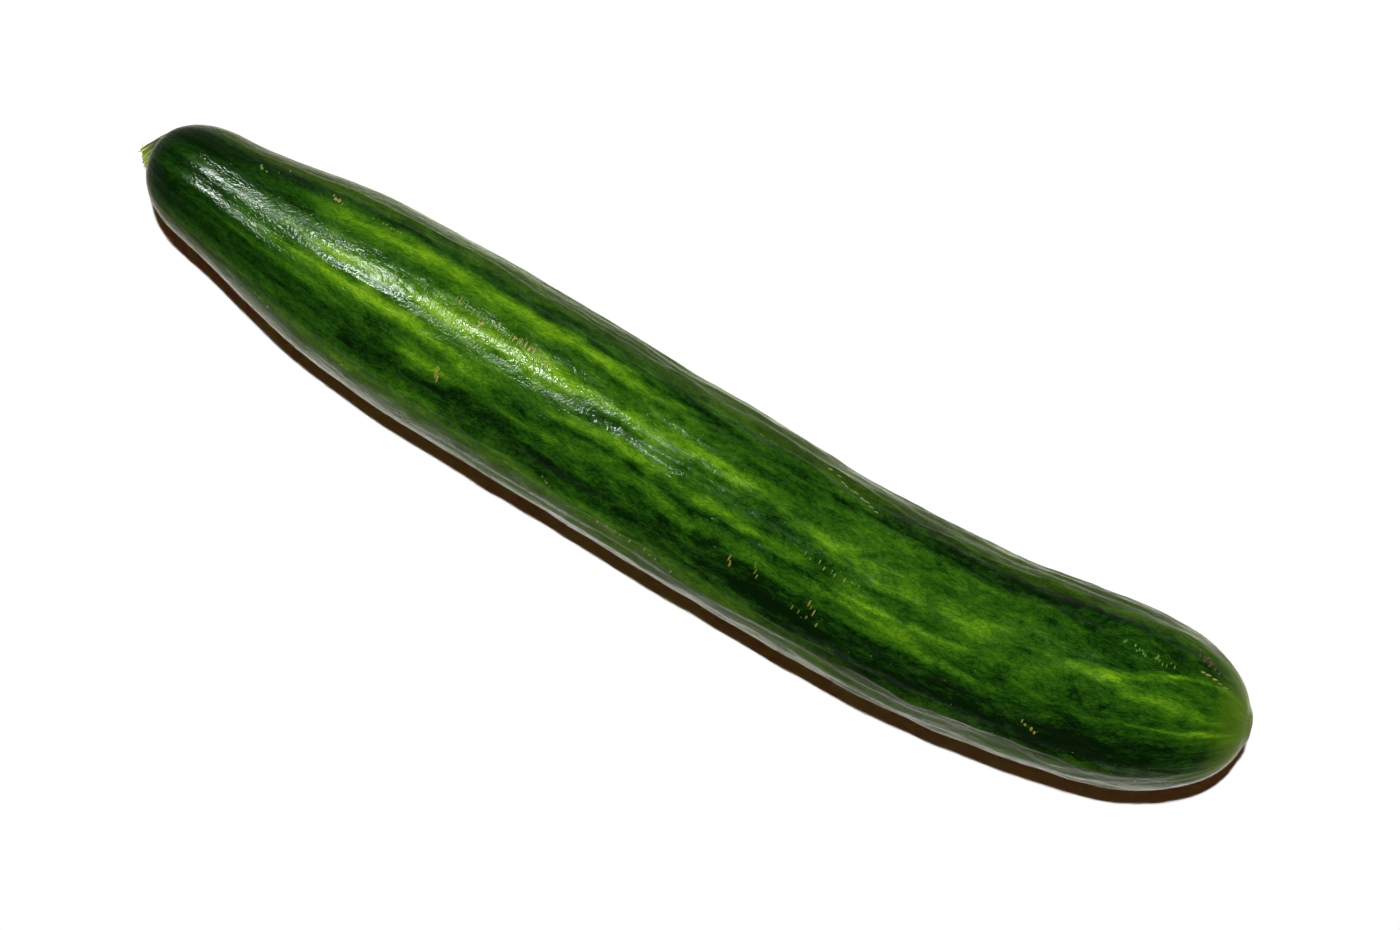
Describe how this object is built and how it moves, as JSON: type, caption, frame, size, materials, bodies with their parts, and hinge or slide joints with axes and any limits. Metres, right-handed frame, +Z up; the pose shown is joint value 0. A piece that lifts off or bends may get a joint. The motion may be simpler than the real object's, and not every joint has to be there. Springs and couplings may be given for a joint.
{
  "type": "cucumber",
  "caption": "Long greenhouse cucumber with a tapered ribbed neck, a rounded blossom end and a short torn stalk stub, lying on its side.",
  "frame": {"origin": "under the middle of the object's box, on the surface it rests on", "axes": "+X along the fruit from the stalk end to the blossom end, +Z up, +Y across towards the side that both ends bend to"},
  "size_m": [0.3058, 0.0542, 0.0478],
  "materials": {
    "cucumber_skin": "waxy gloss, dark green with lighter streaks",
    "cucumber_stalk": "matt, fibrous yellow-green"
  },
  "bodies": {
    "root": {"fruit": "cucumber_skin", "stalk": "cucumber_stalk"}
  },
  "joints": []
}
